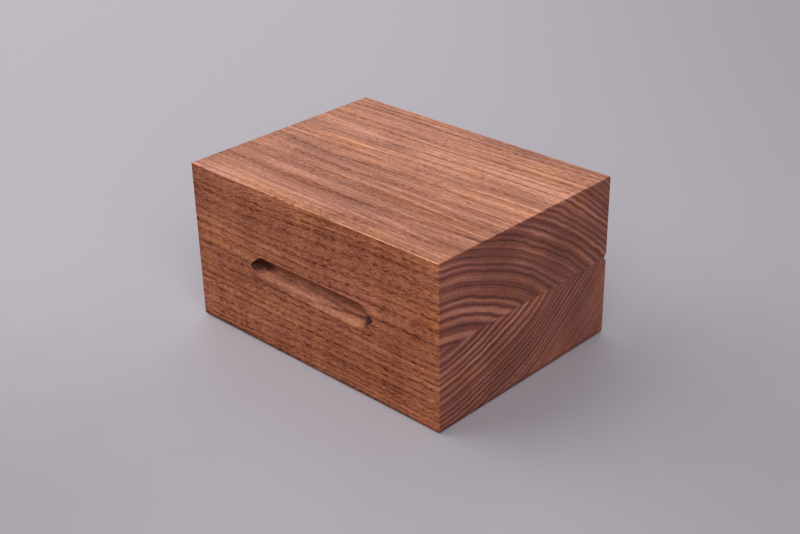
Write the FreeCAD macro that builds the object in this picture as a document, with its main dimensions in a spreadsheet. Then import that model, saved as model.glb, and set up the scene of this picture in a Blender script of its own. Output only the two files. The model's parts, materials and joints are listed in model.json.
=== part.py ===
"""Wooden puzzle box: two hollowed hardwood halves on concealed brass hinges, with a hidden spin lock.

Frame: millimetres, +Z up, origin at the centre of the underside, +X to the right along the
front, front face towards -Y. The box stands closed and unlocked.
"""
import FreeCAD, Part
import math
import os

import Sketcher

DRIVING_SIZES = [
    ("box_length", 150, "outside, left to right"),
    ("box_depth", 111, "outside, front to back"),
    ("base_height", 39, "underside to parting plane"),
    ("lid_height", 39, "parting plane to top"),
    ("front_wall", 20, "front wall, which holds the locks"),
    ("back_wall", 15, "back wall, which holds the hinges"),
    ("side_wall", 14, "left and right walls"),
    ("base_floor", 9, "bottom of the base"),
    ("lid_roof", 9, "top of the lid"),
    ("cavity_corner", 8, "upright corner radius of both hollows"),
    ("edge_ease", 0.5, "sanded arris on upright and top edges"),
    ("foot_round", 1.6, "rounding round the underside"),
    ("groove_depth", 6, "depth of the finger groove at the parting plane"),
    ("groove_land", 1.5, "tip of the finger groove to the lock block beside it"),
    ("cutter_offset", 3, "axis of the round V cutter outside the front face"),
    ("hinge_end", 19, "end of the box to the end of a hinge"),
    ("hinge_length", 28, "length of a hinge"),
    ("hinge_pin_dia", 2, "hinge pin"),
    ("leaf_width", 10, "hinge axis to the free edge of a leaf"),
    ("leaf_land", 0.2, "metal left under a countersink in a leaf"),
    ("leaf_gap", 0.2, "space between the closed leaves"),
    ("knuckle_wall", 0.77, "metal round the pin in a knuckle"),
    ("knuckle_gap", 0.15, "end play between two knuckles"),
    ("knuckle_room", 0.3, "space round the barrel in wood and leaves"),
    ("barrel_setback", 0.2, "barrel inside the plane of the back face"),
    ("pin_play", 0.03, "radial play of a turning or threaded fit"),
    ("screw_hole_dia", 1.9, "screw hole in a leaf"),
    ("countersink", 0.8, "depth of the 90 degree countersink round a screw hole"),
    ("stud_dia", 4, "striker stud"),
    ("stud_space", 1.4, "space above the stud in its insert"),
    ("insert_wall", 1.47, "metal round the stud in the threaded insert"),
    ("insert_length", 10, "threaded insert in the lid"),
    ("insert_recess", 0.4, "insert below the lid's rim"),
    ("nut_flange", 2, "nut beyond the stud, which the lock pin catches"),
    ("nut_height", 4, "striker nut"),
    ("nut_cone", 1.5, "cone on the lower end of the nut"),
    ("lock_end_wood", 7, "end of the box to the lock block"),
    ("lock_block_side", 1.5, "lock block in front of and behind the mortise"),
    ("lock_block_cheek", 3, "lock block beyond the mortise at the inner end"),
    ("lock_block_floor", 3.9, "lock block under the mortise"),
    ("lock_block_corner", 3, "upright corner radius of the lock block"),
    ("glue_gap", 0.05, "space round a glued block, dowel or leaf"),
    ("mortise_room", 0.5, "space round the nut in its mortise"),
    ("mortise_swing", 1, "extra mortise length either way for the nut's arc"),
    ("mortise_below", 1.2, "space under the nut"),
    ("lock_pin_drop", 5.5, "parting plane to lock pin axis"),
    ("pin_nose_dia", 4, "lock pin, front part"),
    ("pin_nose_length", 6, "lock pin, front part"),
    ("pin_shoulder", 1, "lock pin, step from nose to tail"),
    ("pin_tail_length", 5, "lock pin, back part"),
    ("pin_bevel", 0.8, "bevel on the pin's nose"),
    ("pin_reach", 0.4, "space between a locked pin and the stud"),
    ("pin_retract", 0.9, "unlocked pin behind the mortise wall"),
    ("pin_lift", 0.4, "space between pin and nut"),
    ("bore_room", 0.1, "space round and at the ends of the lock pin"),
    ("plug_length", 4, "dowel that closes the bore"),
]
KNUCKLES = 3
SCREWS = 2

# Sizes and places worked out from the sheet, as formulas on its names
KNUCKLE_DIA = "(sizes.hinge_pin_dia + 2 * sizes.pin_play + 2 * sizes.knuckle_wall)"
KNUCKLE_REACH = f"({KNUCKLE_DIA} / 2 + sizes.knuckle_room)"
LEAF_THICK = "(sizes.countersink + sizes.leaf_land)"
LEAF_CUT = f"(2 * {LEAF_THICK} + sizes.leaf_gap)"
SCREW_PITCH = f"(sizes.hinge_length / {SCREWS})"
SCREW_SETBACK = f"(({KNUCKLE_REACH} + sizes.leaf_width) / 2)"
HINGE_BEVEL = f"({KNUCKLE_DIA} / 2 + sizes.barrel_setback)"
HINGE_Y = f"(sizes.box_depth / 2 - {HINGE_BEVEL})"
HINGE_X = "(sizes.box_length / 2 - sizes.hinge_end - sizes.hinge_length / 2)"
STUD_HOLE = "(sizes.stud_dia + 2 * sizes.pin_play)"
STUD_TOP = "(sizes.insert_recess + sizes.insert_length - sizes.stud_space)"
INSERT_DIA = f"({STUD_HOLE} + 2 * sizes.insert_wall)"
NUT_DIA = "(sizes.stud_dia + 2 * sizes.nut_flange)"
NUT_TOP = "(sizes.lock_pin_drop + sizes.pin_nose_dia / 2 + sizes.pin_lift)"
NUT_BOTTOM = f"({NUT_TOP} + sizes.nut_height)"
MORTISE_WIDTH = f"({NUT_DIA} + 2 * sizes.mortise_room)"
MORTISE_DEPTH = f"({NUT_BOTTOM} + sizes.mortise_below)"
PIN_TAIL_DIA = "(sizes.pin_nose_dia + 2 * sizes.pin_shoulder)"
PIN_LENGTH = "(sizes.pin_nose_length + sizes.pin_tail_length)"
LOCKED_TIP = "(sizes.stud_dia / 2 + sizes.pin_reach)"
UNLOCKED_TIP = f"({MORTISE_WIDTH} / 2 + sizes.pin_retract)"
NOSE_BORE = "(sizes.pin_nose_dia + 2 * sizes.bore_room)"
TAIL_BORE = f"({PIN_TAIL_DIA} + 2 * sizes.bore_room)"
BORE_STEP = f"({LOCKED_TIP} + sizes.pin_nose_length - sizes.bore_room)"
PLUG_FACE = f"({UNLOCKED_TIP} + {PIN_LENGTH} + sizes.bore_room)"
BLOCK_OUTER = f"({PLUG_FACE} + sizes.plug_length)"
BLOCK_INNER = f"({MORTISE_WIDTH} / 2 + sizes.lock_block_cheek)"
BLOCK_DEPTH = f"({MORTISE_WIDTH} + 2 * sizes.mortise_swing + 2 * sizes.lock_block_side)"
BLOCK_HEIGHT = f"({MORTISE_DEPTH} + sizes.lock_block_floor)"
STRIKER_X = f"(sizes.box_length / 2 - sizes.lock_end_wood - {BLOCK_OUTER})"
STRIKER_Y = "(sizes.front_wall / 2 - sizes.box_depth / 2)"
CUTTER_RADIUS = "(sizes.groove_depth + sizes.cutter_offset)"
RUN_OUT = f"sqrt({CUTTER_RADIUS} * {CUTTER_RADIUS} - sizes.cutter_offset * sizes.cutter_offset)"
GROOVE_RUN = f"(2 * ({STRIKER_X} - {BLOCK_INNER} - sizes.groove_land - {RUN_OUT}))"

SIDES = (("left", -1), ("right", 1))
UP = FreeCAD.Vector(0, 0, 1)

doc = FreeCAD.newDocument("puzzle_box")
sheet = doc.addObject("Spreadsheet::Sheet", "sizes")
for row, (alias, value, note) in enumerate(DRIVING_SIZES, start=1):
    sheet.set(f"A{row}", alias)
    sheet.set(f"B{row}", str(value))
    sheet.set(f"C{row}", note)
    sheet.setAlias(f"B{row}", alias)
doc.recompute()


def new_body(label):
    body = doc.addObject("PartDesign::Body", label)
    body.Label = label
    return body


def origin_part(body, role):
    return next(item for item in body.Origin.OriginFeatures if item.Role == role)


def place(body, x="0", y="0", z="0", half_turn=False):
    """Puts a finished body in the box, turned half round about its upright axis where asked."""
    if half_turn:
        body.Placement = FreeCAD.Placement(FreeCAD.Vector(), FreeCAD.Rotation(UP, 180))
    for name, formula in (("x", x), ("y", y), ("z", z)):
        body.setExpression(f"Placement.Base.{name}", formula)


def new_sketch(body, name, plane, x="0", y="0", z="0"):
    """A sketch on an origin plane; x and y slide it within the plane and z lifts it off."""
    sketch = body.newObject("Sketcher::SketchObject", name)
    sketch.AttachmentSupport = (origin_part(body, plane), [""])
    sketch.MapMode = "FlatFace"
    for axis, formula in (("x", x), ("y", y), ("z", z)):
        sketch.setExpression(f"AttachmentOffset.Base.{axis}", formula)
    return sketch


def dimension(sketch, kind, places, formula):
    """A driving dimension whose value follows a formula on the sheet."""
    value = sketch.evalExpression(formula)
    number = sketch.addConstraint(Sketcher.Constraint(kind, *places, value))
    name = f"size_{number}"
    sketch.renameConstraint(number, name)
    sketch.setExpression(f"Constraints.{name}", formula)


def pin_down(sketch, line, end, right, up):
    """Holds one point of a line or circle at its formulas, right of and up from the origin."""
    for kind, formula in (("DistanceX", right), ("DistanceY", up)):
        if sketch.evalExpression(formula) < 0:
            dimension(sketch, kind, (line, end, -1, 1), f"-({formula})")
        else:
            dimension(sketch, kind, (-1, 1, line, end), formula)


def closed_outline(sketch, corners):
    """Straight-sided outline; each corner is a pair of formulas, right and up from the origin."""
    first, count = sketch.GeometryCount, len(corners)
    points = [FreeCAD.Vector(*(sketch.evalExpression(formula) for formula in corner)) for corner in corners]
    for index in range(count):
        sketch.addGeometry(Part.LineSegment(points[index], points[(index + 1) % count]))
    for index, corner in enumerate(corners):
        following = first + (index + 1) % count
        sketch.addConstraint(Sketcher.Constraint("Coincident", first + index, 2, following, 1))
        pin_down(sketch, first + index, 1, *corner)


def rectangle(sketch, left, right, low, high):
    closed_outline(sketch, [(left, low), (right, low), (right, high), (left, high)])


def circle(sketch, diameter, right="0"):
    number = sketch.GeometryCount
    centre = FreeCAD.Vector(sketch.evalExpression(right), 0, 0)
    sketch.addGeometry(Part.Circle(centre, UP, sketch.evalExpression(diameter) / 2))
    pin_down(sketch, number, 3, right, "0")
    dimension(sketch, "Diameter", (number,), diameter)


def long_hole(sketch, width, reach):
    """A slot along the sketch's upward axis: two half rounds, reach above and below, and two sides."""
    radius = sketch.evalExpression(width) / 2
    offset = sketch.evalExpression(reach)
    for level, start, end in ((offset, 0, math.pi), (-offset, math.pi, 2 * math.pi)):
        whole = Part.Circle(FreeCAD.Vector(0, level, 0), UP, radius)
        sketch.addGeometry(Part.ArcOfCircle(whole, start, end))
    for side in (-radius, radius):
        sketch.addGeometry(Part.LineSegment(FreeCAD.Vector(side, offset * -side / radius, 0),
                                            FreeCAD.Vector(side, offset * side / radius, 0)))
    top, bottom, left, right = range(4)
    for arc, arc_end, line, line_end in ((top, 2, left, 1), (left, 2, bottom, 1),
                                         (bottom, 2, right, 1), (right, 2, top, 1)):
        sketch.addConstraint(Sketcher.Constraint("Tangent", arc, arc_end, line, line_end))
    pin_down(sketch, top, 3, "0", reach)
    pin_down(sketch, bottom, 3, "0", f"-({reach})")
    sketch.addConstraint(Sketcher.Constraint("Equal", top, bottom))
    dimension(sketch, "Diameter", (top,), width)


def feature(body, kind, name, sketch, length, backwards=False, both_ways=False):
    """A Pad or Pocket of a sketch, with its length bound to a formula."""
    made = body.newObject(f"PartDesign::{kind}", name)
    made.Profile = sketch
    sketch.Visibility = False
    made.Reversed = backwards
    made.SideType = "Symmetric" if both_ways else "One side"
    made.setExpression("Length", length)
    doc.recompute()
    return made


def turned(body, kind, name, sketch, axis):
    """A Revolution or Groove right round one of its sketch's own axes."""
    made = body.newObject(f"PartDesign::{kind}", name)
    made.Profile = sketch
    made.ReferenceAxis = (sketch, [axis])
    sketch.Visibility = False
    doc.recompute()
    return made


def dressed(body, kind, name, chosen, size):
    """A Fillet or Chamfer on the edges of the body so far that the test picks out."""
    base = body.Tip
    edges = [f"Edge{n}" for n, edge in enumerate(base.Shape.Edges, start=1) if chosen(edge)]
    made = body.newObject(f"PartDesign::{kind}", name)
    made.Base = (base, edges)
    made.setExpression("Radius" if kind == "Fillet" else "Size", size)
    doc.recompute()
    return made


def mirrored(body, name, originals):
    """The same features on the other side of the box's middle plane."""
    made = body.newObject("PartDesign::Mirrored", name)
    made.Originals = originals
    made.MirrorPlane = (origin_part(body, "YZ_Plane"), [""])
    body.Tip = made
    doc.recompute()
    return made


def near(value, target):
    return abs(value - target) < 1e-6


def is_upright(edge):
    """A straight edge along Z."""
    box = edge.BoundBox
    return near(box.XLength, 0) and near(box.YLength, 0)


def is_level(edge, height):
    box = edge.BoundBox
    return near(box.ZMin, height) and near(box.ZMax, height)


def half_blank(body, up, height):
    """The outside of one half: the lid stands on its parting plane at z = 0, the base hangs from it."""
    outline = new_sketch(body, "outline", "XY_Plane")
    across, along = "sizes.box_length / 2", "sizes.box_depth / 2"
    rectangle(outline, f"-{across}", across, f"-{along}", along)
    feature(body, "Pad", "blank", outline, backwards=not up, length=f"sizes.{height}")
    if up:
        top = sheet.get(height)
        dressed(body, "Fillet", "arrises", lambda edge: is_upright(edge) or is_level(edge, top),
                "sizes.edge_ease")
    else:
        underside = -sheet.get(height)
        dressed(body, "Fillet", "foot", lambda edge: is_level(edge, underside), "sizes.foot_round")
        dressed(body, "Fillet", "arrises", is_upright, "sizes.edge_ease")


def half_hollow(body, up, height, bottom):
    """The routed hollow, with round upright corners and a flat bottom."""
    mouth = new_sketch(body, "hollow_mouth", "XY_Plane")
    side = "(sizes.box_length / 2 - sizes.side_wall)"
    rectangle(mouth, f"-{side}", side, "sizes.front_wall - sizes.box_depth / 2",
              "sizes.box_depth / 2 - sizes.back_wall")
    feature(body, "Pocket", "hollow", mouth, backwards=up, length=f"sizes.{height} - sizes.{bottom}")
    inside = sheet.get("box_length") / 2 - sheet.get("side_wall")
    dressed(body, "Fillet", "hollow_corners",
            lambda edge: is_upright(edge) and near(abs(edge.BoundBox.XMin), inside),
            "sizes.cavity_corner")


def v_cut(body, name, face, depth, length):
    """A V cut along X, level with the parting plane, into the front (-1) or back (1) face."""
    outer, apex = f"{face} * sizes.box_depth / 2", f"{face} * (sizes.box_depth / 2 - {depth})"
    profile = new_sketch(body, f"{name}_profile", "YZ_Plane")
    closed_outline(profile, [(outer, f"-{depth}"), (apex, "0"), (outer, depth)])
    return feature(body, "Pocket", name, profile, both_ways=True, length=length)


def groove_run_out(body):
    """The round end that the V cutter leaves at the right of the finger groove."""
    profile = new_sketch(body, "groove_end_profile", "YZ_Plane", z=f"{GROOVE_RUN} / 2",
                         x="-(sizes.box_depth / 2 + sizes.cutter_offset)")
    closed_outline(profile, [("sizes.cutter_offset", "-sizes.groove_depth"), (CUTTER_RADIUS, "0"),
                             ("sizes.cutter_offset", "sizes.groove_depth")])
    return turned(body, "Groove", "groove_end", profile, "V_Axis")


def hinge_seat(body, up):
    """Right-hand hinge: leaf mortise and a round recess for the barrel."""
    reach = "(sizes.hinge_length / 2 + sizes.knuckle_gap)"
    seat = new_sketch(body, "mortise_outline", "XY_Plane", x=HINGE_X, y=HINGE_Y)
    rectangle(seat, f"-{reach}", reach, "-(sizes.leaf_width + sizes.glue_gap)", HINGE_BEVEL)
    mortise = feature(body, "Pocket", "leaf_mortise", seat, backwards=up,
                      length=f"{LEAF_THICK} + sizes.leaf_gap / 2")
    barrel = new_sketch(body, "recess_outline", "YZ_Plane", x=HINGE_Y, z=HINGE_X)
    circle(barrel, f"2 * {KNUCKLE_REACH}")
    recess = feature(body, "Pocket", "barrel_recess", barrel, both_ways=True, length=f"2 * {reach}")
    return [mortise, recess]


def lock_seat(body):
    """Right-hand pocket in the base's front wall for a lock block."""
    outline = new_sketch(body, "lock_pocket_outline", "XY_Plane", x=STRIKER_X, y=STRIKER_Y)
    side = f"({BLOCK_DEPTH} / 2 + sizes.glue_gap)"
    rectangle(outline, f"-({BLOCK_INNER} + sizes.glue_gap)", f"{BLOCK_OUTER} + sizes.glue_gap",
              f"-{side}", side)
    return [feature(body, "Pocket", "lock_pocket", outline, length=BLOCK_HEIGHT)]


def insert_seat(body):
    """Right-hand hole in the lid's front wall for a threaded insert."""
    outline = new_sketch(body, "insert_hole_outline", "XY_Plane", x=STRIKER_X, y=STRIKER_Y)
    circle(outline, f"{INSERT_DIA} + 2 * sizes.glue_gap")
    return [feature(body, "Pocket", "insert_hole", outline, backwards=True,
                    length="sizes.insert_recess + sizes.insert_length")]


def box_half(label, up, height, bottom):
    """One half of the box. Its own z = 0 is the parting plane; base hangs below, lid stands above."""
    body = new_body(label)
    half_blank(body, up, height)
    half_hollow(body, up, height, bottom)
    v_cut(body, "back_bevel", 1, HINGE_BEVEL, "sizes.box_length")
    v_cut(body, "finger_groove", -1, "sizes.groove_depth", GROOVE_RUN)
    right_hand = [groove_run_out(body)] + hinge_seat(body, up)
    right_hand += insert_seat(body) if up else lock_seat(body)
    mirrored(body, "left_hand", right_hand)
    if not up:
        pocket_floor = -sheet.evalExpression(BLOCK_HEIGHT)
        dressed(body, "Fillet", "lock_pocket_corners",
                lambda edge: is_upright(edge) and near(edge.BoundBox.ZMin, pocket_floor),
                "sizes.lock_block_corner + sizes.glue_gap")
    place(body, z="sizes.base_height")
    return body


def hinge_leaf(label, side, up):
    """A leaf with its share of the knuckles, about the hinge axis. The base leaf keeps the end knuckles."""
    body = new_body(label)
    half_length = "sizes.hinge_length / 2"
    lift = "sizes.leaf_gap / 2" if up else "-sizes.leaf_gap / 2"
    plate = new_sketch(body, "plate_outline", "XY_Plane", z=lift)
    rectangle(plate, f"-{half_length}", half_length, "-sizes.leaf_width", "0")
    feature(body, "Pad", "plate", plate, backwards=not up, length=LEAF_THICK)
    barrel = new_sketch(body, "barrel_outline", "YZ_Plane")
    circle(barrel, KNUCKLE_DIA)
    feature(body, "Pad", "barrel", barrel, both_ways=True, length="sizes.hinge_length")
    bore = new_sketch(body, "bore_outline", "YZ_Plane")
    circle(bore, "sizes.hinge_pin_dia + 2 * sizes.pin_play")
    feature(body, "Pocket", "pin_bore", bore, both_ways=True, length="sizes.hinge_length")
    gaps = new_sketch(body, "knuckle_gaps", "XY_Plane")
    for index in range(0 if up else 1, KNUCKLES, 2):
        start = f"sizes.hinge_length * ({index} / {KNUCKLES} - 1 / 2) - sizes.knuckle_gap / 2"
        end = f"sizes.hinge_length * ({index + 1} / {KNUCKLES} - 1 / 2) + sizes.knuckle_gap / 2"
        rectangle(gaps, start, end, f"-{KNUCKLE_REACH}", KNUCKLE_REACH)
    feature(body, "Pocket", "other_knuckles", gaps, both_ways=True, length=f"2 * {KNUCKLE_REACH}")
    holes = new_sketch(body, "hole_outline", "XY_Plane", y=f"-{SCREW_SETBACK}")
    for index in range(SCREWS):
        circle(holes, "sizes.screw_hole_dia", f"{SCREW_PITCH} * ({index} - {(SCREWS - 1) / 2})")
    feature(body, "Pocket", "screw_holes", holes, both_ways=True, length=LEAF_CUT)
    face = sheet.get("leaf_gap") / 2 * (1 if up else -1)
    dressed(body, "Chamfer", "countersinks",
            lambda edge: is_level(edge, face) and isinstance(edge.Curve, Part.Circle), "sizes.countersink")
    place(body, x=f"{side} * {HINGE_X}", y=HINGE_Y, z="sizes.base_height")
    return body


def hinge_pin(label, side):
    body = new_body(label)
    section = new_sketch(body, "section", "YZ_Plane")
    circle(section, "sizes.hinge_pin_dia")
    feature(body, "Pad", "rod", section, both_ways=True, length="sizes.hinge_length")
    place(body, x=f"{side} * {HINGE_X}", y=HINGE_Y, z="sizes.base_height")
    return body


def at_striker(body, side, outward="0", drop="0"):
    """Places a lock piece from its striker's axis on the parting plane; the left one is turned round."""
    place(body, x=f"{side} * ({STRIKER_X} + {outward})", y=STRIKER_Y, z=f"sizes.base_height - ({drop})",
          half_turn=side < 0)
    return body


def lock_block(label, side):
    """A block with an oblong mortise for the striker and a stepped bore for the lock pin."""
    body = new_body(label)
    outline = new_sketch(body, "outline", "XY_Plane")
    half_depth = f"{BLOCK_DEPTH} / 2"
    rectangle(outline, f"-{BLOCK_INNER}", BLOCK_OUTER, f"-{half_depth}", half_depth)
    feature(body, "Pad", "block", outline, backwards=True, length=BLOCK_HEIGHT)
    dressed(body, "Fillet", "corners", is_upright, "sizes.lock_block_corner")
    mouth = new_sketch(body, "mortise_outline", "XY_Plane")
    long_hole(mouth, MORTISE_WIDTH, "sizes.mortise_swing")
    feature(body, "Pocket", "mortise", mouth, length=MORTISE_DEPTH)
    nose = new_sketch(body, "nose_bore_outline", "YZ_Plane", y="-sizes.lock_pin_drop")
    circle(nose, NOSE_BORE)
    feature(body, "Pocket", "nose_bore", nose, backwards=True, length=BORE_STEP)
    tail = new_sketch(body, "tail_bore_outline", "YZ_Plane", y="-sizes.lock_pin_drop", z=BORE_STEP)
    circle(tail, TAIL_BORE)
    feature(body, "Pocket", "tail_bore", tail, backwards=True, length=f"{BLOCK_OUTER} - {BORE_STEP}")
    return at_striker(body, side)


def bore_plug(label, side):
    body = new_body(label)
    section = new_sketch(body, "section", "YZ_Plane")
    circle(section, f"{TAIL_BORE} - 2 * sizes.glue_gap")
    feature(body, "Pad", "dowel", section, length="sizes.plug_length")
    return at_striker(body, side, PLUG_FACE, "sizes.lock_pin_drop")


def lock_pin(label, side):
    """A loose turned pin: slim bevelled nose, and a fatter tail whose shoulder stops it in the bore."""
    body = new_body(label)
    profile = new_sketch(body, "profile", "XZ_Plane")
    nose, tail, bevel = "sizes.pin_nose_dia / 2", f"{PIN_TAIL_DIA} / 2", "sizes.pin_bevel"
    closed_outline(profile, [("0", "0"), ("0", f"{nose} - {bevel}"), (bevel, nose),
                             ("sizes.pin_nose_length", nose), ("sizes.pin_nose_length", tail),
                             (PIN_LENGTH, tail), (PIN_LENGTH, "0")])
    turned(body, "Revolution", "pin", profile, "H_Axis")
    return at_striker(body, side, UNLOCKED_TIP, "sizes.lock_pin_drop")


def striker_insert(label, side):
    body = new_body(label)
    outside = new_sketch(body, "outside", "XY_Plane", z="sizes.insert_recess")
    circle(outside, INSERT_DIA)
    feature(body, "Pad", "sleeve", outside, length="sizes.insert_length")
    inside = new_sketch(body, "inside", "XY_Plane", z="sizes.insert_recess")
    circle(inside, STUD_HOLE)
    feature(body, "Pocket", "bore", inside, backwards=True, length="sizes.insert_length")
    return at_striker(body, side)


def striker_stud(label, side):
    body = new_body(label)
    section = new_sketch(body, "section", "XY_Plane")
    circle(section, "sizes.stud_dia")
    feature(body, "Pad", "rod", section, length=f"{NUT_BOTTOM} + {STUD_TOP}")
    return at_striker(body, side, drop=NUT_BOTTOM)


def striker_nut(label, side):
    """A round nut: flat on top to catch the pin, coned below to push the pin aside on closing."""
    body = new_body(label)
    profile = new_sketch(body, "profile", "XZ_Plane")
    bore, rim, bottom = f"{STUD_HOLE} / 2", f"{NUT_DIA} / 2", "-sizes.nut_height"
    closed_outline(profile, [(bore, "0"), (rim, "0"), (rim, f"sizes.nut_cone + {bottom}"),
                             (f"{rim} - sizes.nut_cone", bottom), (bore, bottom)])
    turned(body, "Revolution", "nut", profile, "V_Axis")
    return at_striker(body, side, drop=NUT_TOP)


pieces = [
    box_half("base_block", False, "base_height", "base_floor"),
    box_half("lid_block", True, "lid_height", "lid_roof"),
]
for hand, side in SIDES:
    pieces += [
        hinge_leaf(f"{hand}_hinge_base_leaf", side, False),
        hinge_leaf(f"{hand}_hinge_lid_leaf", side, True),
        hinge_pin(f"{hand}_hinge_pin", side),
        lock_block(f"{hand}_lock_block", side),
        bore_plug(f"{hand}_bore_plug", side),
        lock_pin(f"{hand}_lock_pin", side),
        striker_insert(f"{hand}_striker_insert", side),
        striker_stud(f"{hand}_striker_stud", side),
        striker_nut(f"{hand}_striker_nut", side),
    ]

doc.recompute()
failed = [obj.Label for obj in doc.Objects if {"Invalid", "Error"} & set(obj.State)]
failed += [piece.Label for piece in pieces if piece.Shape.isNull() or not piece.Shape.isValid()]
if failed:
    raise RuntimeError(f"failed: {failed}")

os.makedirs("parts", exist_ok=True)
for piece in pieces:
    piece.Shape.exportStep(f"parts/{piece.Label}.step")
    print(f"{piece.Label}: {len(piece.Shape.Solids)} solids, {piece.Shape.Volume:.1f} mm3")
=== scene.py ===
"""Wooden puzzle box: finishes, small fasteners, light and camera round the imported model."""
import json
import math

import bmesh
import bpy
from mathutils import Matrix, Vector


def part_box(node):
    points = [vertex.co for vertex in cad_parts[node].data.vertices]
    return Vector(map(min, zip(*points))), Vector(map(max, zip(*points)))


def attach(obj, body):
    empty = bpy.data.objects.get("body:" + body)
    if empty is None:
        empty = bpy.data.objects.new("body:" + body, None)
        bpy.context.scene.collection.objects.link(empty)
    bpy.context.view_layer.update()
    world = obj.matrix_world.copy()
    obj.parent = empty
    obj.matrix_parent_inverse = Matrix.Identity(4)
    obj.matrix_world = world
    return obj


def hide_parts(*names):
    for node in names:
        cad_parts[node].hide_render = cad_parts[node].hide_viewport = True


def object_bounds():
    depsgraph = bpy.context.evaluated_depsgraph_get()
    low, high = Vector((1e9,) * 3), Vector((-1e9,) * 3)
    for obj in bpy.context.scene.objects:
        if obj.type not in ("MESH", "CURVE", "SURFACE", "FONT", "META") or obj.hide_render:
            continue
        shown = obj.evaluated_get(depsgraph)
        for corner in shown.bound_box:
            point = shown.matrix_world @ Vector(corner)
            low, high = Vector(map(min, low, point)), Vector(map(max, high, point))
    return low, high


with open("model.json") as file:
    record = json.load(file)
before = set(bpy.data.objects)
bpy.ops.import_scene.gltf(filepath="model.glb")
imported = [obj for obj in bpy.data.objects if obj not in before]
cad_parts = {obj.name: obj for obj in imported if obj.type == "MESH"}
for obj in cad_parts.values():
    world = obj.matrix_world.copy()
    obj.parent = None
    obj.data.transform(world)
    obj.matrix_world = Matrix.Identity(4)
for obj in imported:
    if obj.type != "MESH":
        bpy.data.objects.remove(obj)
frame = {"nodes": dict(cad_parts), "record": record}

cad_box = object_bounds()
MM = 0.001
PER_MM = 1 / MM
FRONT = cad_box[0][1]
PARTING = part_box("base_block")[1][2]


def colour(red, green, blue):
    return (red, green, blue, 1)


# The photograph's camera, fitted to the box's corners
LENS = 60.30
SENSOR_WIDTH = 36.0
NEAREST_SEEN = 10 * MM
VIEW_AZIMUTH = math.radians(44.211)
VIEW_ELEVATION = math.radians(27.522)
VIEW_ROLL = math.radians(-1.184)
VIEW_DISTANCE = 608.47 * MM
VIEW_TARGET = Vector((2.992, -2.498, 31.413)) * MM
AWAY_FROM_VIEW = (-math.sin(VIEW_AZIMUTH), math.cos(VIEW_AZIMUTH), 0)
RIGHT_OF_VIEW = (math.cos(VIEW_AZIMUTH), math.sin(VIEW_AZIMUTH), 0)

# Hinge screws, to fit the countersinks of the leaves
LEAF_GAP = 0.20 * MM
SCREW_SETBACK = 6.05 * MM
SCREW_SPREAD = 7.0 * MM
SCREW_SINK = 0.05 * MM
SCREW_TURN = math.radians(53)
SCREW_HEAD_RADIUS = 1.70 * MM
SCREW_HEAD_HEIGHT = 0.75 * MM
SCREW_HEAD_SIDES = 28
SCREW_NECK = 0.30 * MM
SCREW_LENGTH = 8.0 * MM
SCREW_THREAD_RADIUS = 0.88 * MM
SCREW_CORE_RADIUS = 0.62 * MM
SCREW_PITCH = 0.80 * MM
SCREW_THREAD_STEPS = 14
SCREW_TAPER = 0.55
SCREW_TAPERED_TURNS = 2
SCREW_SLOT_WIDTH = 0.45 * MM
SCREW_SLOT_DEPTH = 0.40 * MM
SCREW_EDGE = 0.05 * MM

# Strikers, to fit each other and the lid
STUD_RADIUS = 2.0 * MM
STUD_CORE_RADIUS = 1.62 * MM
STUD_PITCH = 0.70 * MM
STUD_STEPS = 28
STUD_BORE_RADIUS = 2.03 * MM
NUT_RADIUS = 4.0 * MM
NUT_CONE = 1.5 * MM
NUT_EDGE = 0.15 * MM
INSERT_RADIUS = 3.5 * MM
INSERT_CORE_RADIUS = 3.0 * MM
INSERT_PITCH = 1.6 * MM
INSERT_STEPS = 32
STRIKER_SIDES = 48
STRIKER_SLOT_WIDTH = 0.9 * MM
STRIKER_SLOT_DEPTH = 1.0 * MM
STRIKER_TURN = math.radians(28)

# Modelling: the shortest real edge, a cutter's length in lengths of its cut, and which edges are sharp
SLIVER = 0.001 * MM
OVERCUT = 2.0
BREAK_ANGLE = math.radians(40)
BREAK_SEGMENTS = 2
SMOOTH_ANGLE = math.radians(35)
THREAD_SMOOTH_ANGLE = math.radians(50)

# Threads: cuts and spare turns, then shares of the pitch. The lead keeps points off the end faces
THREAD_CUTS = 3
THREAD_SPARE_TURNS = 2
THREAD_LEAD = 0.77
THREAD_FLANK = 1 / 3
THREAD_CREST = 1 / 8
THREAD_WELD = 1 / 100

# Walnut's noise layers: waves to a mm along the grain and across it, detail, and roughness of the detail
SWAY = (0.006, 0.018, 1.0, 0.5)
SHIVER = (0.03, 0.16, 3.0, 0.5)
VIGOUR = (0.008, 0.035, 1.0, 0.5)
VESSELS = (0.33, 1.7, 2.0, 0.5)
FIBRE = (0.40, 1.6, 3.0, 0.6)
BAND = (0.005, 0.11, 2.0, 0.5)
STREAK = (0.011, 0.60, 4.0, 0.65)
PATCH = (0.025, 0.04, 2.0, 0.5)
GLINT = (0.09, 0.012, 1.0, 0.5)
WARMTH = (0.012, 0.09, 2.0, 0.5)
# Patches of the arrises' rubbed wear and painted highlight
ARRIS_PATCH = (0.12, 0.12, 3.0, 0.5)
SWAY_REACH = 9.0
SHIVER_REACH = 1.6
MIDDLE = 0.5

# Walnut's rings, over mm from the pith
RING_GROWTH = 3.0
PACE = 0.09
PACE_SHIFT = 0.8
FINE_LINES = 0.75
FINE_LINES_DETAIL = 3.0
RING_SHAPE = [(0.0, 0.0), (0.15, 0.18), (0.42, 0.85), (0.62, 1.0), (0.85, 0.45), (1.0, 0.0)]
EARLY_WOOD = [(0.0, 0.4), (0.08, 1.0), (0.25, 0.3), (0.45, 0.0), (0.9, 0.0), (1.0, 0.4)]

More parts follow.
